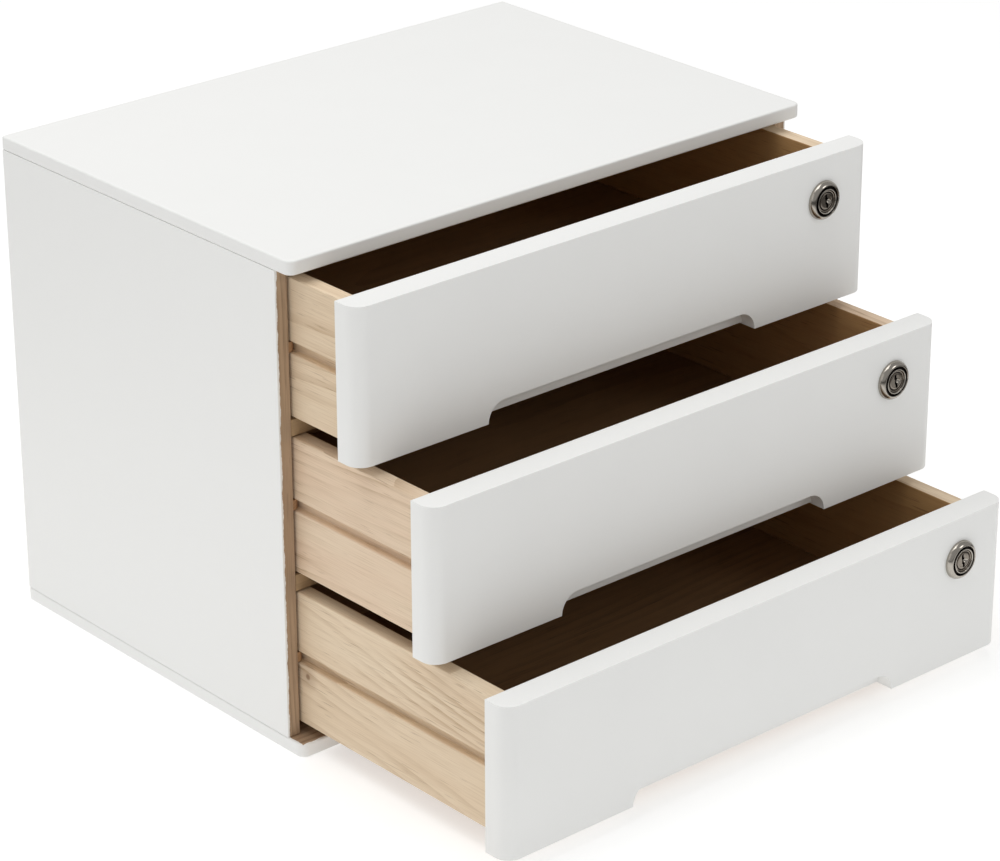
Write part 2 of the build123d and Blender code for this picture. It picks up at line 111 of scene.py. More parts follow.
def smooth(piece, angle=35):
    activate(piece)
    bpy.ops.object.shade_smooth_by_angle(angle=math.radians(angle))


def shadeFlats(piece):  # flats stay flat to the eye and only the rounds are smooth
    smooth(piece)
    applyModifier(piece, "WEIGHTED_NORMAL", keep_sharp=True, weight=80)


def softenEdges(piece, width, segments=3):
    bevelEdges(piece, width, segments)
    shadeFlats(piece)


def box(name, low, high):  # a plain block between two corners
    bpy.ops.object.select_all(action="DESELECT")
    middle = [(a + b) / 2 for a, b in zip(low, high)]
    bpy.ops.mesh.primitive_cube_add(size=1, location=middle)
    piece = bpy.context.object
    piece.name = name
    piece.scale = [b - a for a, b in zip(low, high)]
    bpy.ops.object.transform_apply(location=True, rotation=True, scale=True)
    return piece


def turned(name, centre, steps, hollow=False, segments=96):
    # steps are (radius, y from the centre) in mm: each ring is drawn out of the one before it, as on a lathe
    bpy.ops.object.select_all(action="DESELECT")
    start = Vector(centre) + Vector((0, steps[0][1] * mm, 0))
    bpy.ops.mesh.primitive_circle_add(vertices=segments, radius=steps[0][0] * mm, fill_type="NOTHING",
                                      location=start, rotation=(math.pi / 2, 0, 0))
    piece = bpy.context.object
    piece.name = name
    bpy.ops.object.transform_apply(location=True, rotation=True, scale=True)
    bpy.ops.object.mode_set(mode="EDIT")
    bpy.ops.mesh.select_mode(type="EDGE")
    bpy.ops.mesh.select_all(action="SELECT")
    for (r0, y0), (r1, y1) in zip(steps, steps[1:]):
        bpy.ops.mesh.extrude_edges_move()
        here = Vector(centre) + Vector((0, y0 * mm, 0))
        bpy.ops.transform.resize(value=(r1 / r0, 1, r1 / r0), center_override=here)
        bpy.ops.transform.translate(value=(0, (y1 - y0) * mm, 0))
    bpy.ops.mesh.select_all(action="DESELECT")
    bpy.ops.mesh.select_non_manifold(extend=False, use_wire=False, use_multi_face=False,
                                     use_non_contiguous=False, use_verts=False)
    if hollow:
        bpy.ops.mesh.bridge_edge_loops()
    else:
        bpy.ops.mesh.fill_holes(sides=0)
    bpy.ops.mesh.select_all(action="SELECT")
    bpy.ops.mesh.normals_make_consistent(inside=False)
    bpy.ops.mesh.select_mode(type="VERT")
    bpy.ops.object.mode_set(mode="OBJECT")
    return piece


def roundEdges(piece, along, test, radius, segments):
    # bevels the edges that run along one axis (0, 1 or 2) and whose ends both pass the test
    activate(piece)
    bpy.context.scene.tool_settings.mesh_select_mode = (False, True, False)
    mesh = piece.data
    for part in (mesh.vertices, mesh.edges, mesh.polygons):
        part.foreach_set("select", [False] * len(part))
    for edge in mesh.edges:
        a, b = (mesh.vertices[v].co for v in edge.vertices)
        straight = all(abs(a[i] - b[i]) < 1e-6 for i in range(3) if i != along)
        edge.select = straight and test(a) and test(b)
    bpy.ops.object.mode_set(mode="EDIT")
    bpy.ops.mesh.bevel(offset=radius, segments=segments, affect="EDGES", profile=0.5)
    bpy.ops.mesh.select_mode(type="VERT")
    bpy.ops.object.mode_set(mode="OBJECT")


def joined(name, pieces):
    bpy.ops.object.select_all(action="DESELECT")
    for piece in pieces:
        piece.select_set(True)
    bpy.context.view_layer.objects.active = pieces[0]
    bpy.ops.object.join()
    pieces[0].name = name
    return pieces[0]


def finishPiece(piece, node, body, material):
    piece.data.materials.clear()
    piece.data.materials.append(material)
    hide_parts(node)
    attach(piece, body)


def dress(name, material):  # a CAD node that stays takes this finish
    for slot in nodes[name].material_slots:
        slot.material = material


# camera, found from the straight edges of the case in the photograph
cameraPlace = (-1.21577, -1.46636, 0.94829)
cameraTurn = {"azimuth": -41.191, "elevation": 24.177, "roll": -0.203}
cameraLens = 132.64
cameraSensor = 36

azimuth, elevation, roll = (math.radians(cameraTurn[k]) for k in ("azimuth", "elevation", "roll"))
back = Vector((math.sin(azimuth) * math.cos(elevation), -math.cos(azimuth) * math.cos(elevation),
               math.sin(elevation)))
levelRight = Vector((math.cos(azimuth), math.sin(azimuth), 0))
levelUp = back.cross(levelRight)
right = math.cos(roll) * levelRight + math.sin(roll) * levelUp
up = -math.sin(roll) * levelRight + math.cos(roll) * levelUp
cameraData = bpy.data.cameras.new("camera")
cameraData.lens = cameraLens
cameraData.sensor_width = cameraSensor
camera = bpy.data.objects.new("camera", cameraData)
bpy.context.collection.objects.link(camera)
turn = Matrix((right, up, back)).transposed().to_4x4()
camera.matrix_world = Matrix.Translation(cameraPlace) @ turn
bpy.context.scene.camera = camera

# studio: white surroundings and three soft lights
studio = {
    "aim": (0, -0.05, 0.12),
    "surround": ("#ffffff", 0.43),
    "overhead": {"place": (-0.3, 0.2, 2.0), "size": 1.8, "watts": 26},
    "fromLeft": {"place": (-2.2, -0.4, 1.1), "size": 1.6, "watts": 3.4},
    "fromRight": {"place": (1.3, -2.2, 1.5), "size": 0.7, "watts": 6},
}
world = bpy.data.worlds.new("studio")
bpy.context.scene.world = world
world.use_nodes = True
world.node_tree.nodes.clear()
surround = addNode(world.node_tree, "ShaderNodeBackground",
                   {"Color": linear(studio["surround"][0]), "Strength": studio["surround"][1]})
addNode(world.node_tree, "ShaderNodeOutputWorld", links={"Surface": (surround, "Background")})
for lightName in ("overhead", "fromLeft", "fromRight"):
    values = studio[lightName]
    lightData = bpy.data.lights.new(lightName, "AREA")
    lightData.size = values["size"]
    lightData.energy = values["watts"]
    light = bpy.data.objects.new(lightName, lightData)
    bpy.context.collection.objects.link(light)
    light.location = values["place"]
    aim = Vector(studio["aim"]) - Vector(values["place"])
    light.rotation_euler = aim.to_track_quat("-Z", "Y").to_euler()
bpy.context.scene.view_settings.view_transform = "Standard"

# pale studio floor that glows a little, so that shadows on it stay faint
# mirrored in the locks it darkens from near to far, in metres from the middle: a painted dark reflection that
# stands in for a darker room
floorValues = {"size": 12.0, "colour": "#cfcfce", "mirroredDarkColour": "#4a4846", "glow": 0.52, "mirroredGlow": 0.02,
               "near": 0.42, "far": 0.85, "roughness": 0.9}
bpy.ops.object.select_all(action="DESELECT")
bpy.ops.mesh.primitive_plane_add(size=floorValues["size"], location=(0, 0, 0))
studioFloor = bpy.context.object
studioFloor.name = "studioFloor"
material, tree, place = startMaterial("studioFloorPaper")
distance = addNode(tree, "ShaderNodeVectorMath", {"operation": "LENGTH"}, {0: (place, "Object")})
beyond = addNode(tree, "ShaderNodeMapRange",
                 {"From Min": floorValues["near"], "From Max": floorValues["far"]},
                 {"Value": (distance, "Value")})
rays = addNode(tree, "ShaderNodeLightPath")
mirrored = addNode(tree, "ShaderNodeMath", {"operation": "MULTIPLY"},
                   {0: (beyond, "Result"), 1: (rays, "Is Glossy Ray")})
paper = addNode(tree, "ShaderNodeMix", {"data_type": "RGBA", 6: linear(floorValues["colour"]),
                                        7: linear(floorValues["mirroredDarkColour"])}, {0: (mirrored, 0)})
glow = addNode(tree, "ShaderNodeMapRange", {"To Min": floorValues["glow"], "To Max": floorValues["mirroredGlow"]},
               {"Value": (mirrored, 0)})
shader = addNode(tree, "ShaderNodeBsdfPrincipled",
                 {"Roughness": floorValues["roughness"], "Emission Color": linear("#ffffff")},
                 {"Base Color": (paper, 2), "Emission Strength": (glow, "Result")})
finishMaterial(tree, shader)
studioFloor.data.materials.append(material)
print("camera, lights and floor are in place")


# materials

# Satin acrylic furniture paint, rolled on fibreboard: even and nearly white, with a fine stipple
paint = {"coat": "#efefed", "thinCoat": "#ececea", "patchMm": 45.0, "roughness": 0.42, "unevenGloss": 0.05,
         "ior": 1.46, "stippleMm": 1.1, "stippleStrength": 0.35, "stippleHeightMm": 0.02}


def makePaint():
    material, tree, place = startMaterial("satinWhitePaint")
    patches = addNode(tree, "ShaderNodeTexNoise", {"Scale": 1 / (paint["patchMm"] * mm), "Detail": 3.0},
                      {"Vector": (place, "Object")})
    colour = addNode(tree, "ShaderNodeMix",
                     {"data_type": "RGBA", 6: linear(paint["coat"]), 7: linear(paint["thinCoat"])},
                     {0: (patches, "Fac")})
    gloss = addNode(tree, "ShaderNodeMapRange",
                    {"To Min": paint["roughness"] - paint["unevenGloss"],
                     "To Max": paint["roughness"] + paint["unevenGloss"]}, {"Value": (patches, "Fac")})
    stipple = addNode(tree, "ShaderNodeTexNoise", {"Scale": 1 / (paint["stippleMm"] * mm), "Detail": 2.0},
                      {"Vector": (place, "Object")})
    relief = addNode(tree, "ShaderNodeBump",
                     {"Strength": paint["stippleStrength"], "Distance": paint["stippleHeightMm"] * mm},
                     {"Height": (stipple, "Fac")})
    shader = addNode(tree, "ShaderNodeBsdfPrincipled", {"IOR": paint["ior"]},
                     {"Base Color": (colour, 2), "Roughness": (gloss, "Result"),
                      "Normal": (relief, "Normal")})
    finishMaterial(tree, shader)
    return material


# Paulownia, planed: pale straw, soft growth lines that fade in and out, fine long fibres and open pores
paulownia = {"pale": "#ead8bd", "warm": "#dcc3a4", "line": "#b4936d", "pore": "#8d6a47",
             "ringMm": 7.0, "lineStrength": 0.62, "fadeMm": 26.0, "fibreMm": 0.5, "fibreLengthMm": 30.0,
             "poreMm": 0.35, "poreLengthMm": 9.0, "patchMm": 16.0, "patchLengthMm": 110.0, "roughness": 0.62,
             "ior": 1.5, "reliefMm": 0.05, "reliefStrength": 0.4}
# Beech strips: redder and denser, with short dark flecks
beech = dict(paulownia, pale="#b9946d", warm="#a98360", line="#8a6444", pore="#6b4a30", ringMm=2.2,
             fibreMm=0.3, fibreLengthMm=9.0, poreMm=0.3, poreLengthMm=2.2, patchMm=8.0, patchLengthMm=60.0)
# The same paulownia inside the drawers, in a darker walnut brown
interiorBrown = dict(paulownia, pale="#a9835a", warm="#98714c", line="#785638", pore="#5a3e28")
# Thin birch plywood, in the same brown a little paler
interiorBrownFloor = dict(interiorBrown, pale="#ad8860", warm="#9d7850", line="#7e5e40", pore="#60462e")
# The case's own board edges, a darker and greyer brown than the planed paulownia
boardEdge = dict(paulownia, pale="#c4aa8d", warm="#a1866c", line="#735943", pore="#523f2f", ringMm=3.2,
                 lineStrength=0.9)
# The rails, which stand in the shade of the mouth, are darkened browner with painted shade
railShadeWood = dict(paulownia, pale="#bfa27c", warm="#ab8c68", line="#86694a", pore="#654c35")
innerShadeTint = "#d0b48c"  # painted shade, laid over the inner faces of the drawer sides
# How a log grows: its rings sway, in metres, wander a little and fade in and out, and are drawn out along it
growthValues = {"sway": 0.035, "swayScale": 9.0, "swayStretch": 0.3, "twist": 0.6, "wander": 0.5,
                "fadeStretch": 0.25, "fadeRange": (0.38, 0.68), "lateWoodRange": (0.45, 1.0)}
# Where the noise is above the first number a fibre or pore begins to show, and at the second it shows fully
fleckValues = {"fibreRange": (0.45, 0.8), "fibreStrength": 0.4, "poreRange": (0.84, 0.93),
               "poreStrength": 0.5, "poreSpread": 0.5, "poreCrowding": 0.35}
ringPeriod = 0.3141  # metres from ring to ring of a wave texture at scale 1


def woodColour(tree, place, wood, along, centre, tilt):
    # along: the axis that the grain runs on, centre: the heart of the log in mm
    # tilt: the angle in radians at which the board was sawn from the log
    turns = {"x": (0, math.pi / 2, 0), "y": (math.pi / 2, 0, 0), "z": (0, 0, 0)}[along]
    moved = addNode(tree, "ShaderNodeMapping",
                    {"vector_type": "POINT", "Location": [-c * mm for c in centre]},
                    {"Vector": (place, "Object")})
    logwise = addNode(tree, "ShaderNodeMapping", {"vector_type": "TEXTURE", "Rotation": turns},
                      {"Vector": (moved, "Vector")})
    g, f = growthValues, fleckValues
    slow = addNode(tree, "ShaderNodeMapping", {"Scale": (1, 1, g["swayStretch"])},
                   {"Vector": (logwise, "Vector")})
    sway = addNode(tree, "ShaderNodeTexNoise", {"Scale": g["swayScale"], "Detail": 2.0},
                   {"Vector": (slow, "Vector")})
    swayed = addNode(tree, "ShaderNodeVectorMath",
                     {"operation": "MULTIPLY_ADD", 1: (g["sway"], g["sway"], 0.0)},
                     {0: (sway, "Color"), 2: (logwise, "Vector")})
    tilted = addNode(tree, "ShaderNodeMapping", {"Rotation": (tilt, tilt * g["twist"], 0)},
                     {"Vector": (swayed, "Vector")})
    rings = addNode(tree, "ShaderNodeTexWave",
                    {"wave_type": "RINGS", "rings_direction": "Z", "wave_profile": "SAW",
                     "Scale": ringPeriod / (wood["ringMm"] * mm), "Distortion": g["wander"],
                     "Detail": 2.0, "Detail Scale": 0.5}, {"Vector": (tilted, "Vector")})
    fades = addNode(tree, "ShaderNodeMapping", {"Scale": (1, 1, g["fadeStretch"])},
                    {"Vector": (logwise, "Vector")})
    fade = addNode(tree, "ShaderNodeTexNoise", {"Scale": 1 / (wood["fadeMm"] * mm), "Detail": 3.0},
                   {"Vector": (fades, "Vector")})
    fibres = addNode(tree, "ShaderNodeMapping", {"Scale": (1, 1, wood["fibreMm"] / wood["fibreLengthMm"])},
                     {"Vector": (logwise, "Vector")})
    fibre = addNode(tree, "ShaderNodeTexNoise", {"Scale": 1 / (wood["fibreMm"] * mm), "Detail": 2.0},
                    {"Vector": (fibres, "Vector")})
    pores = addNode(tree, "ShaderNodeMapping", {"Scale": (1, 1, wood["poreMm"] / wood["poreLengthMm"])},
                    {"Vector": (logwise, "Vector")})
    pore = addNode(tree, "ShaderNodeTexNoise",
                   {"Scale": f["poreSpread"] / (wood["poreMm"] * mm), "Detail": 1.0},
                   {"Vector": (pores, "Vector")})
    patches = addNode(tree, "ShaderNodeMapping", {"Scale": (1, 1, wood["patchMm"] / wood["patchLengthMm"])},
                      {"Vector": (logwise, "Vector")})
    patch = addNode(tree, "ShaderNodeTexNoise", {"Scale": 1 / (wood["patchMm"] * mm), "Detail": 2.0},
                    {"Vector": (patches, "Vector")})
    ground = addNode(tree, "ShaderNodeMix",
                     {"data_type": "RGBA", 6: linear(wood["pale"]), 7: linear(wood["warm"])},
                     {0: (patch, "Fac")})
    lateWood = addNode(tree, "ShaderNodeMapRange",
                       {"From Min": g["lateWoodRange"][0], "From Max": g["lateWoodRange"][1],
                        "To Max": wood["lineStrength"]}, {"Value": (rings, "Fac")})
    fading = addNode(tree, "ShaderNodeMapRange",
                     {"From Min": g["fadeRange"][0], "From Max": g["fadeRange"][1]},
                     {"Value": (fade, "Fac")})
    growth = addNode(tree, "ShaderNodeMath", {"operation": "MULTIPLY"},
                     {0: (lateWood, "Result"), 1: (fading, "Result")})
    lined = addNode(tree, "ShaderNodeMix", {"data_type": "RGBA", 7: linear(wood["line"])},
                    {0: (growth, 0), 6: (ground, 2)})
    fibreAmount = addNode(tree, "ShaderNodeMapRange",
                          {"From Min": f["fibreRange"][0], "From Max": f["fibreRange"][1],
                           "To Max": f["fibreStrength"]}, {"Value": (fibre, "Fac")})
    fibred = addNode(tree, "ShaderNodeMix", {"data_type": "RGBA", 7: linear(wood["line"])},
                     {0: (fibreAmount, "Result"), 6: (lined, 2)})
    crowded = addNode(tree, "ShaderNodeMath", {"operation": "MULTIPLY_ADD", 1: f["poreCrowding"]},
                      {0: (fade, "Fac"), 2: (pore, "Fac")})
    poreAmount = addNode(tree, "ShaderNodeMapRange",
                         {"From Min": f["poreRange"][0], "From Max": f["poreRange"][1],
                          "To Max": f["poreStrength"]}, {"Value": (crowded, 0)})
    pored = addNode(tree, "ShaderNodeMix", {"data_type": "RGBA", 7: linear(wood["pore"])},
                    {0: (poreAmount, "Result"), 6: (fibred, 2)})
    return pored, fibre


# A pin knot: a dark heart, and a ring of stained wood that fades out round it
knotValues = {"radiusMm": 2.7, "heart": "#7a5638", "heartShare": 0.4, "heartStrength": 0.8, "roundMm": 9.0,
              "roundStrength": 0.3}


def makeWood(name, wood, along, centre=(40, 0, -60), tilt=0.05, paintedShadeEnd=None, knot=None):
    # the shade's end: faces nearer to the middle plane than this many mm take a painted shade, knot: its
    # place in mm
    material, tree, place = startMaterial(name)
    colour, fibre = woodColour(tree, place, wood, along, centre, tilt)
    if paintedShadeEnd:
        # painted shade: the inner faces of the drawer sides are darkened
        parts = addNode(tree, "ShaderNodeSeparateXYZ", links={0: (place, "Object")})
        across = addNode(tree, "ShaderNodeMath", {"operation": "ABSOLUTE"}, {0: (parts, "X")})
        inside = addNode(tree, "ShaderNodeMath", {"operation": "LESS_THAN", 1: paintedShadeEnd * mm},
                         {0: (across, 0)})
        colour = addNode(tree, "ShaderNodeMix",
                         {"data_type": "RGBA", "blend_type": "MULTIPLY", 7: linear(innerShadeTint)},
                         {0: (inside, 0), 6: (colour, 2)})
    if knot:
        k = knotValues
        offset = addNode(tree, "ShaderNodeVectorMath",
                         {"operation": "SUBTRACT", 1: [c * mm for c in knot]},
                         {0: (place, "Object")})
        away = addNode(tree, "ShaderNodeVectorMath", {"operation": "LENGTH"}, {0: (offset, 0)})
        heart = addNode(tree, "ShaderNodeMapRange", {
            "From Min": k["radiusMm"] * mm * k["heartShare"], "From Max": k["radiusMm"] * mm,
            "To Min": k["heartStrength"], "To Max": 0.0}, {"Value": (away, "Value")})
        collar = addNode(tree, "ShaderNodeMapRange", {
            "From Min": k["radiusMm"] * mm, "From Max": k["roundMm"] * mm,
            "To Min": k["roundStrength"], "To Max": 0.0}, {"Value": (away, "Value")})
        darker = addNode(tree, "ShaderNodeMath", {"operation": "MAXIMUM"},
                         {0: (heart, "Result"), 1: (collar, "Result")})
        colour = addNode(tree, "ShaderNodeMix", {"data_type": "RGBA", 7: linear(k["heart"])},
                         {0: (darker, 0), 6: (colour, 2)})
    relief = addNode(tree, "ShaderNodeBump",
                     {"Strength": wood["reliefStrength"], "Distance": wood["reliefMm"] * mm},
                     {"Height": (fibre, "Fac")})
    shader = addNode(tree, "ShaderNodeBsdfPrincipled",
                     {"Roughness": wood["roughness"], "IOR": wood["ior"]},
                     {"Base Color": (colour, 2), "Normal": (relief, "Normal")})
    finishMaterial(tree, shader)
    return material


# A board that is painted on its outer side and bare on the rest. The paint creeps round the arris unevenly
paintCreep = {"reachMm": 0.75, "unevenMm": 0.9, "patchMm": 5.0, "patchRange": (0.3, 0.7),
              "bottomPaintTopMm": 7.2, "sawnTilt": 0.05, "reliefMm": 0.03, "ior": 1.48}
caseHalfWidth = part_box("top_panel")[1][0]
caseFrontReach = -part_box("top_panel")[0][1]


def makePaintedBoard(name, wood, along, centre, isBottom=False):
    # a side board is painted on its outer face, the bottom board below and at its rim
    material, tree, place = startMaterial(name)
    colour, fibre = woodColour(tree, place, wood, along, centre, paintCreep["sawnTilt"])
    parts = addNode(tree, "ShaderNodeSeparateXYZ", links={0: (place, "Object")})
    uneven = addNode(tree, "ShaderNodeTexNoise", {"Scale": 1 / (paintCreep["patchMm"] * mm), "Detail": 4.0},
                     {"Vector": (place, "Object")})
    edge = caseHalfWidth - paintCreep["reachMm"] * mm
    reach = addNode(tree, "ShaderNodeMapRange", {
        "From Min": paintCreep["patchRange"][0], "From Max": paintCreep["patchRange"][1],
        "To Min": edge, "To Max": edge - paintCreep["unevenMm"] * mm, "clamp": False},
        {"Value": (uneven, "Fac")})
    across = addNode(tree, "ShaderNodeMath", {"operation": "ABSOLUTE"}, {0: (parts, "X")})
    painted = addNode(tree, "ShaderNodeMath", {"operation": "GREATER_THAN"},
                      {0: (across, 0), 1: (reach, "Result")})
    if isBottom:
        front = addNode(tree, "ShaderNodeMath",
                        {"operation": "MULTIPLY_ADD", 1: -1.0, 2: caseHalfWidth - caseFrontReach},
                        {0: (parts, "Y")})
        rim = addNode(tree, "ShaderNodeMath", {"operation": "GREATER_THAN"},
                      {0: (front, 0), 1: (reach, "Result")})
        below = addNode(tree, "ShaderNodeMath",
                        {"operation": "LESS_THAN", 1: paintCreep["bottomPaintTopMm"] * mm},
                        {0: (parts, "Z")})
        outside = addNode(tree, "ShaderNodeMath", {"operation": "MAXIMUM"},
                          {0: (painted, 0), 1: (rim, 0)})
        painted = addNode(tree, "ShaderNodeMath", {"operation": "MAXIMUM"},
                          {0: (outside, 0), 1: (below, 0)})
    shown = addNode(tree, "ShaderNodeMix", {"data_type": "RGBA", 7: linear(paint["coat"])},
                    {0: (painted, 0), 6: (colour, 2)})
    gloss = addNode(tree, "ShaderNodeMapRange",
                    {"To Min": wood["roughness"], "To Max": paint["roughness"]},
                    {"Value": (painted, 0)})
    stipple = addNode(tree, "ShaderNodeTexNoise", {"Scale": 1 / (paint["stippleMm"] * mm), "Detail": 2.0},
                      {"Vector": (place, "Object")})
    height = addNode(tree, "ShaderNodeMix", {"data_type": "FLOAT"},
                     {0: (painted, 0), 2: (fibre, "Fac"), 3: (stipple, "Fac")})
    relief = addNode(tree, "ShaderNodeBump",
                     {"Strength": paint["stippleStrength"], "Distance": paintCreep["reliefMm"] * mm},
                     {"Height": (height, 0)})
    shader = addNode(tree, "ShaderNodeBsdfPrincipled", {"IOR": paintCreep["ior"]},
                     {"Base Color": (shown, 2), "Roughness": (gloss, "Result"),
                      "Normal": (relief, "Normal")})
    finishMaterial(tree, shader)
    return material


satinWhitePaint = makePaint()
sideBoardFinish = makePaintedBoard("paintedSideBoard", boardEdge, "z", (150, -60, 0))
bottomBoardFinish = makePaintedBoard("paintedBottomBoard", boardEdge, "x", (0, -40, -50), isBottom=True)
paulowniaCross = makeWood("planedPaulowniaCross", paulownia, "x")
interiorBrownCross = makeWood("interiorBrownPaulowniaCross", interiorBrown, "x")
railFinish = makeWood("planedPaulowniaRailPaintedShade", railShadeWood, "x")
sidePaintedShadeEnd = 161.7  # the painted shade reaches to just outside the inner faces of the drawer sides
bottomKnot = (-170.5, -119.1, 43.4)
middleWood = dict(paulownia, warm="#dfc1a6")
bottomWood = dict(paulownia, ringMm=5.5, lineStrength=0.7)
drawerSideWood = {
    "top": makeWood("planedPaulowniaTop", paulownia, "y", (-110, 0, 300), 0.04, sidePaintedShadeEnd),
    "middle": makeWood("planedPaulowniaMiddle", middleWood, "y", (-125, 0, 40), 0.05, sidePaintedShadeEnd),
    "bottom": makeWood("planedPaulowniaBottom", bottomWood, "y", (-135, 0, 15), -0.1, sidePaintedShadeEnd,
                       bottomKnot),
}
drawerFloorPly = makeWood("birchPlywoodFloor", interiorBrownFloor, "x")
beechLong = makeWood("planedBeech", beech, "y")


# Handling marks change a metal's roughness by this much. Real ones are finer, and wouldn't show
metalValues = {"brighter": 0.06, "duller": 0.08, "markMm": 0.25}


def makeMetal(name, colour, roughness):
    material, tree, place = startMaterial(name)
    marks = addNode(tree, "ShaderNodeTexNoise", {"Scale": 1 / (metalValues["markMm"] * mm), "Detail": 3.0},
                    {"Vector": (place, "Object")})
    gloss = addNode(tree, "ShaderNodeMapRange",
                    {"To Min": roughness - metalValues["brighter"],
                     "To Max": roughness + metalValues["duller"]},
                    {"Value": (marks, "Fac")})
    shader = addNode(tree, "ShaderNodeBsdfPrincipled", {"Base Color": linear(colour), "Metallic": 1.0},
                     {"Roughness": (gloss, "Result")})
    finishMaterial(tree, shader)
    return material


# Bright nickel plate on turned brass: a warm grey mirror, a little soft
nickelPlate = makeMetal("brightNickelPlate", "#b0aaa1", 0.17)
# The plug's plating, darker than the bezel as a painted dark reflection, and a near-black nickel as painted
# shade down in the turned grooves
plugNickelDarkReflection = makeMetal("nickelPlugPaintedReflection", "#8f877d", 0.22)
grooveShadeNickel = makeMetal("nickelPaintedGrooveShade", "#2e2925", 0.4)
# Zinc plated steel: a cool grey, satin
zincPlate = makeMetal("zincPlatedSteel", "#a9abad", 0.35)
print("materials are made")


# values that several pieces share
past = 10 * mm  # how far a cutter reaches past the surface that it opens
near = 1 * mm  # a point within this of a face belongs to it
almost = 0.999  # share of a full round that keeps a sliver of flat, so that the cut stays clean
holeValues = {"segments": 64, "length": 80.0}  # a drill that goes through any front


# Drawer fronts
frontValues = {"endRadius": 9.0, "endSegments": 24, "arris": 0.9, "arrisSegments": 4,
               "recessWidth": 190.0, "recessHeight": 11.0, "recessDepth": 9.6, "recessSegments": 16,
               "lipRise": 1.0, "lipOverlap": 0.5, "barrelHole": 8.15}


def lockCentre(drawer):  # on the axis of the lock, at the front's face
    low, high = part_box(f"{drawer}_lock_nut")
    return Vector(((low[0] + high[0]) / 2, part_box(f"{drawer}_drawer_front")[0][1], (low[2] + high[2]) / 2))


def drill(piece, centre, radius):  # a hole along y
    bpy.ops.object.select_all(action="DESELECT")
    bpy.ops.mesh.primitive_cylinder_add(vertices=holeValues["segments"], radius=radius * mm, location=centre,
                                        depth=holeValues["length"] * mm, rotation=(math.pi / 2, 0, 0))
    cutWith(piece, bpy.context.object)


def makeFront(drawer):
    v = frontValues
    node = f"{drawer}_drawer_front"
    low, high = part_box(node)
    piece = box(f"{drawer}Front", low, high)
    roundEdges(piece, 2, lambda p: p[1] < low[1] + near, v["endRadius"] * mm, v["endSegments"])
    half, rise = v["recessWidth"] / 2 * mm, v["recessHeight"] * mm
    recess = box("recess", (-half, low[1] - past, low[2] - 2 * rise),
                 (half, low[1] + v["recessDepth"] * mm, low[2] + rise))
    roundEdges(recess, 1, lambda p: p[2] > low[2], rise * almost, v["recessSegments"])
    cutWith(piece, recess)
    drill(piece, lockCentre(drawer), v["barrelHole"])
    bevelEdges(piece, v["arris"] * mm, v["arrisSegments"])
    lip = v["lipRise"] * mm
    lipFront = low[1] + (v["recessDepth"] - v["lipOverlap"]) * mm
    cutWith(piece, box("lip", (-half, lipFront, low[2] - lip), (half, high[1] + past, low[2] + lip)))
    shadeFlats(piece)
    finishPiece(piece, node, f"{drawer}_drawer", satinWhitePaint)


# Drawer boxes: planed boards with broken arrises
boxValues = {"arris": 0.7, "grooveDepth": 4.5, "grooveHeight": 6.5, "seatClearance": 0.1, "frontDrop": 1.2}


def makeBox(drawer):
    v = boxValues
    runnerLow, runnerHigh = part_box(f"{drawer}_left_runner")
    middle = (runnerLow[2] + runnerHigh[2]) / 2
    floorLow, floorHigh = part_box(f"{drawer}_drawer_floor")
    for side, word in ((-1, "left"), (1, "right")):
        node = f"{drawer}_drawer_{word}_side"
        low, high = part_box(node)
        piece = box(f"{drawer}Box{word.capitalize()}", low, high)
        outer = side * farFace(low, high)
        inner = side * nearFace(low, high)
        ends = (low[1] - past, high[1] + past)
        xs = sorted((outer - side * v["grooveDepth"] * mm, outer + side * past))
        half = v["grooveHeight"] / 2 * mm
        cutWith(piece, box("groove", (xs[0], ends[0], middle - half), (xs[1], ends[1], middle + half)))
        loose = v["seatClearance"] * mm
        xs = sorted((inner - side * past, side * (farFace(floorLow, floorHigh) + loose)))
        cutWith(piece, box("seat", (xs[0], ends[0], floorLow[2] - loose),
                           (xs[1], ends[1], floorHigh[2] + loose)))
        softenEdges(piece, v["arris"] * mm)
        finishPiece(piece, node, f"{drawer}_drawer", drawerSideWood[drawer])
    low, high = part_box(f"{drawer}_drawer_box_front")
    piece = box(f"{drawer}BoxFront", low, (high[0], high[1], high[2] - v["frontDrop"] * mm))
    drill(piece, lockCentre(drawer), frontValues["barrelHole"])
    softenEdges(piece, v["arris"] * mm)
    finishPiece(piece, f"{drawer}_drawer_box_front", f"{drawer}_drawer", paulowniaCross)
    piece = box(f"{drawer}BoxBack", *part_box(f"{drawer}_drawer_back"))
    softenEdges(piece, v["arris"] * mm)
    finishPiece(piece, f"{drawer}_drawer_back", f"{drawer}_drawer", interiorBrownCross)


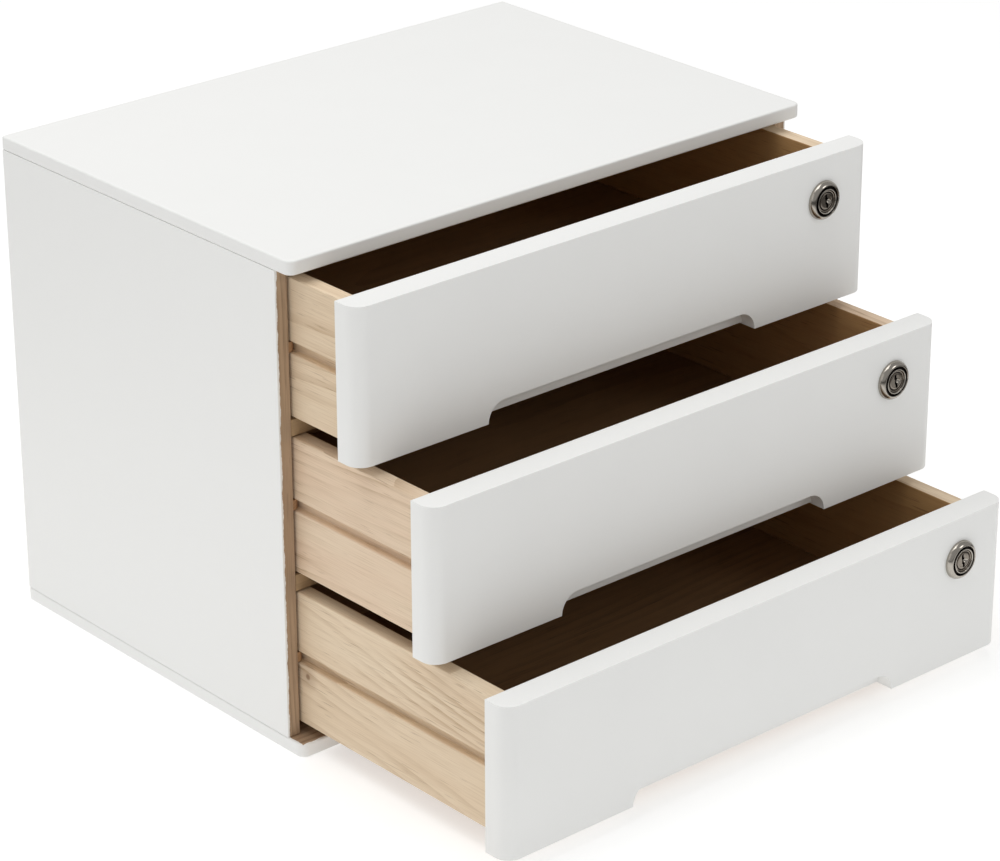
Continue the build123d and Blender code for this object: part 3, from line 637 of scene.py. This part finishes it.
# Locks: turned brass, nickel plated. Radii and depths in mm from the front face, minus is outwards
lockValues = {
    "bezel": [(8.0, 27.8), (8.0, 0.0), (11.0, 0.0), (11.0, -0.7), (10.9, -1.25), (10.6, -1.9), (10.15, -2.5),
              (9.65, -3.0), (9.2, -3.3), (8.85, -3.42), (8.6, -3.4), (8.42, -3.2), (8.35, -2.9), (8.35, -1.2),
              (7.1, -1.2), (7.1, -3.1), (7.0, -3.4), (6.8, -3.5), (6.6, -3.5), (6.42, -3.38), (6.3, -3.1),
              (6.28, -2.6), (6.28, 2.15), (5.48, 2.15), (5.48, 27.8)],
    "plug": [(5.4, 28.1), (5.4, 2.1), (6.2, 2.1), (6.2, -2.4), (6.05, -2.75), (5.75, -2.88), (5.45, -2.75),
             (5.25, -2.3), (4.75, -2.3), (4.6, -2.7), (4.3, -2.86), (3.6, -2.88), (3.45, -2.7), (3.2, -2.7)],
    "face": -2.88, "segments": 128, "smoothAngle": 40,
    # grooves: inner radius, outer radius and how far out their faces with painted shade reach
    "barrelGroove": (7.05, 8.45, -3.05), "plugGroove": (4.7, 5.3, -2.58),
    # three cuts that make a stepped slot: x, z, width, height, and a depth of its own, since cuts that end in
    # one plane undo each other
    "keyway": [(-0.6, 2.5, 1.5, 2.9, 12.0), (0.0, 0.0, 1.7, 3.9, 11.0), (0.6, -2.5, 1.5, 2.9, 10.0)],
    "keywayRound": 0.45, "keywayRoundSegments": 4,
    # x, z, radius and depth, how far out the cutter starts, and which of the faces in it take the painted
    # highlight
    "dimple": (1.75, -0.5, 1.7, 1.3), "dimpleLead": 0.05, "dimpleHighlightFrom": 0.1, "dimpleSlope": 0.3,
}


def paintGrooveShade(piece, centre, groove):  # painted shade: a second, dark material on the faces down in a turned groove
    inner, outer, top = groove
    piece.data.materials.append(grooveShadeNickel)
    for face in piece.data.polygons:
        away = face.center - centre
        if inner < math.hypot(away.x, away.z) / mm < outer and away.y / mm > top:
            face.material_index = 1


def makeLock(drawer):
    v = lockValues
    centre = lockCentre(drawer)
    bezel = turned(f"{drawer}LockBezel", centre, v["bezel"], hollow=True, segments=v["segments"])
    smooth(bezel, v["smoothAngle"])
    finishPiece(bezel, f"{drawer}_lock_housing", f"{drawer}_drawer", nickelPlate)
    paintGrooveShade(bezel, centre, v["barrelGroove"])
    plug = turned(f"{drawer}LockPlug", centre, v["plug"], segments=v["segments"])
    for x, z, width, height, depth in v["keyway"]:
        middle = centre + Vector((x, 0, z)) * mm
        half = Vector((width / 2, 0, height / 2)) * mm
        reach = Vector((0, depth * mm, 0))
        slot = box("keyway", middle - half - reach, middle + half + reach)
        roundEdges(slot, 1, lambda p: True, v["keywayRound"] * mm, v["keywayRoundSegments"])
        cutWith(plug, slot)
    x, z, radius, depth = v["dimple"]
    bpy.ops.object.select_all(action="DESELECT")
    place = centre + Vector((x, v["face"] + depth - v["dimpleLead"], z)) * mm
    bpy.ops.mesh.primitive_cone_add(vertices=holeValues["segments"], radius1=radius * mm, radius2=0,
                                    depth=2 * depth * mm, rotation=(-math.pi / 2, 0, 0), location=place)
    cutWith(plug, bpy.context.object)
    smooth(plug, v["smoothAngle"])
    finishPiece(plug, f"{drawer}_lock_plug", f"{drawer}_lock", plugNickelDarkReflection)
    paintGrooveShade(plug, centre, v["plugGroove"])
    plug.data.materials.append(nickelPlate)
    for face in plug.data.polygons:  # painted highlight: the front-facing faces in the dimple take the bright nickel
        away = (face.center - centre) / mm
        inDimpleHighlight = math.hypot(away.x - x, away.z - z) < radius and away.y > v["face"] + v["dimpleHighlightFrom"]
        if inDimpleHighlight and abs(face.normal.y) > v["dimpleSlope"]:
            face.material_index = 2


# Pan-head screws with cross slots, from inside the drawer into the front
screwValues = {"profile": [(1.75, -19.9), (1.75, 0.0), (3.5, 0.0), (3.5, 0.9), (3.35, 1.4), (2.95, 1.8),
                           (2.3, 2.1), (1.2, 2.2)],
               "headRadius": 3.5, "segments": 40, "slotWidth": 0.8, "slotLength": 3.4, "slotFloor": 0.9}


def makeScrews(drawer):
    v = screwValues
    node = f"{drawer}_drawer_front_screws"
    low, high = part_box(node)
    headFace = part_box(f"{drawer}_drawer_box_front")[1][1]
    made = []
    head = v["headRadius"] * mm
    for x in (low[0] + head, high[0] - head):
        for z in (low[2] + head, high[2] - head):
            centre = Vector((x, headFace, z))
            screw = turned("screw", centre, v["profile"], segments=v["segments"])
            for long, wide in ((v["slotLength"], v["slotWidth"]), (v["slotWidth"], v["slotLength"])):
                corner = Vector((long / 2, 0, wide / 2)) * mm
                slot = box("slot", centre - corner + Vector((0, v["slotFloor"] * mm, 0)),
                           centre + corner + Vector((0, past, 0)))
                cutWith(screw, slot)
            made.append(screw)
    piece = joined(f"{drawer}FrontScrews", made)
    smooth(piece)
    finishPiece(piece, node, f"{drawer}_drawer", zincPlate)


# Case boards: the back board sits in a rebate of all four
boardValues = {"cornerRadius": 5.0, "cornerSegments": 12, "paintedRound": 1.1, "paintedSegments": 4,
               "sideRound": 0.5, "rebate": 4.0, "back": 4.0, "mortiseX": (122.9, 152.4),
               "mortiseSetback": 10.6, "mortiseWidth": 4.4, "mortiseDepth": 5.0}


def makeCase():
    v = boardValues
    rebate = v["rebate"] * mm
    for node, name, inward in (("top_panel", "topBoard", -1), ("bottom_panel", "bottomBoard", 1)):
        low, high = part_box(node)
        piece = box(name, low, high)
        roundEdges(piece, 2, lambda p: p[1] < low[1] + near, v["cornerRadius"] * mm, v["cornerSegments"])
        inner = low[2] if inward < 0 else high[2]
        zs = sorted((inner + inward * past, inner - inward * rebate))
        cutWith(piece, box("rebate", (low[0] + rebate, high[1] - v["back"] * mm, zs[0]),
                           (high[0] - rebate, high[1] + past, zs[1])))
        if node == "top_panel":  # the cam of the top lock goes in here
            xs = [x * mm for x in v["mortiseX"]]
            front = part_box("upper_rail")[0][1] + v["mortiseSetback"] * mm
            cutWith(piece, box("mortise", (xs[0], front, low[2] - past),
                               (xs[1], front + v["mortiseWidth"] * mm, low[2] + v["mortiseDepth"] * mm)))
        softenEdges(piece, v["paintedRound"] * mm, segments=v["paintedSegments"])
        material = satinWhitePaint if node == "top_panel" else bottomBoardFinish
        finishPiece(piece, node, "case", material)
    for side, word in ((-1, "left"), (1, "right")):
        node = f"{word}_side_panel"
        low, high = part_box(node)
        piece = box(f"{word}Board", low, high)
        inner = side * nearFace(low, high)
        xs = sorted((inner - side * past, inner + side * rebate))
        cutWith(piece, box("rebate", (xs[0], high[1] - v["back"] * mm, low[2] - past),
                           (xs[1], high[1] + past, high[2] + past)))
        softenEdges(piece, v["sideRound"] * mm)
        finishPiece(piece, node, "case", sideBoardFinish)


makeCase()
print("case boards are made")
for drawer in drawerNames:
    makeFront(drawer)
    makeBox(drawer)
    makeLock(drawer)
    makeScrews(drawer)
    print(drawer, "drawer is made")

# finishes of the CAD nodes that stay
dress("back_panel", paulowniaCross)
dress("upper_rail", railFinish)
dress("lower_rail", railFinish)
dress("panel_dowels", beechLong)
dress("rail_dowels", beechLong)
for name in ("base_screws", "back_panel_brads", "runner_brads"):
    dress(name, zincPlate)
for drawer in drawerNames:
    dress(f"{drawer}_left_runner", beechLong)
    dress(f"{drawer}_right_runner", beechLong)
    dress(f"{drawer}_drawer_floor", drawerFloorPly)
    dress(f"{drawer}_drawer_dowels", beechLong)
    for part in ("nut", "cam", "cam_screw"):
        dress(f"{drawer}_lock_{part}", zincPlate)
print("CAD nodes are finished")
